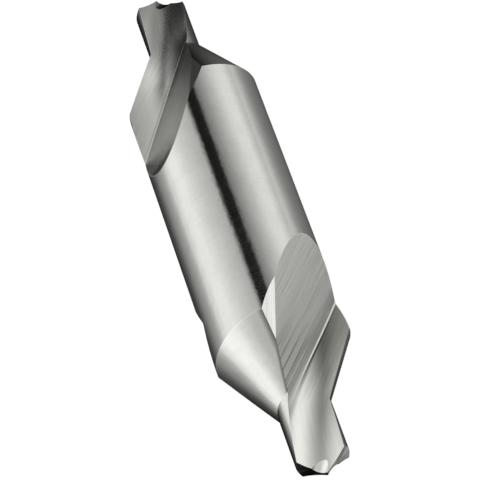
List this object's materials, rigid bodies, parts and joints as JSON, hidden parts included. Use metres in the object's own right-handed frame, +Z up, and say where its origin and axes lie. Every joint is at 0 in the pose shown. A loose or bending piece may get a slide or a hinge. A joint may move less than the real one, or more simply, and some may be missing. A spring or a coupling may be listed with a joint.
{
  "type": "centre drill",
  "caption": "Double-ended centre drill: a round body with a fluted pilot drill and a 60 degree countersink ground on each end.",
  "frame": {"origin": "on the drill's axis at mid-length", "axes": "+X along the drill's axis towards the first end, +Y through a cutting corner of the first end's countersink, +Z up, the side the picture shows"},
  "size_m": [0.0732, 0.016, 0.016],
  "materials": {
    "ground_steel": "bright ground high-speed steel, satin, with fine wheel marks on the flats"
  },
  "bodies": {
    "root": {"centre_drill": "ground_steel"}
  },
  "joints": []
}
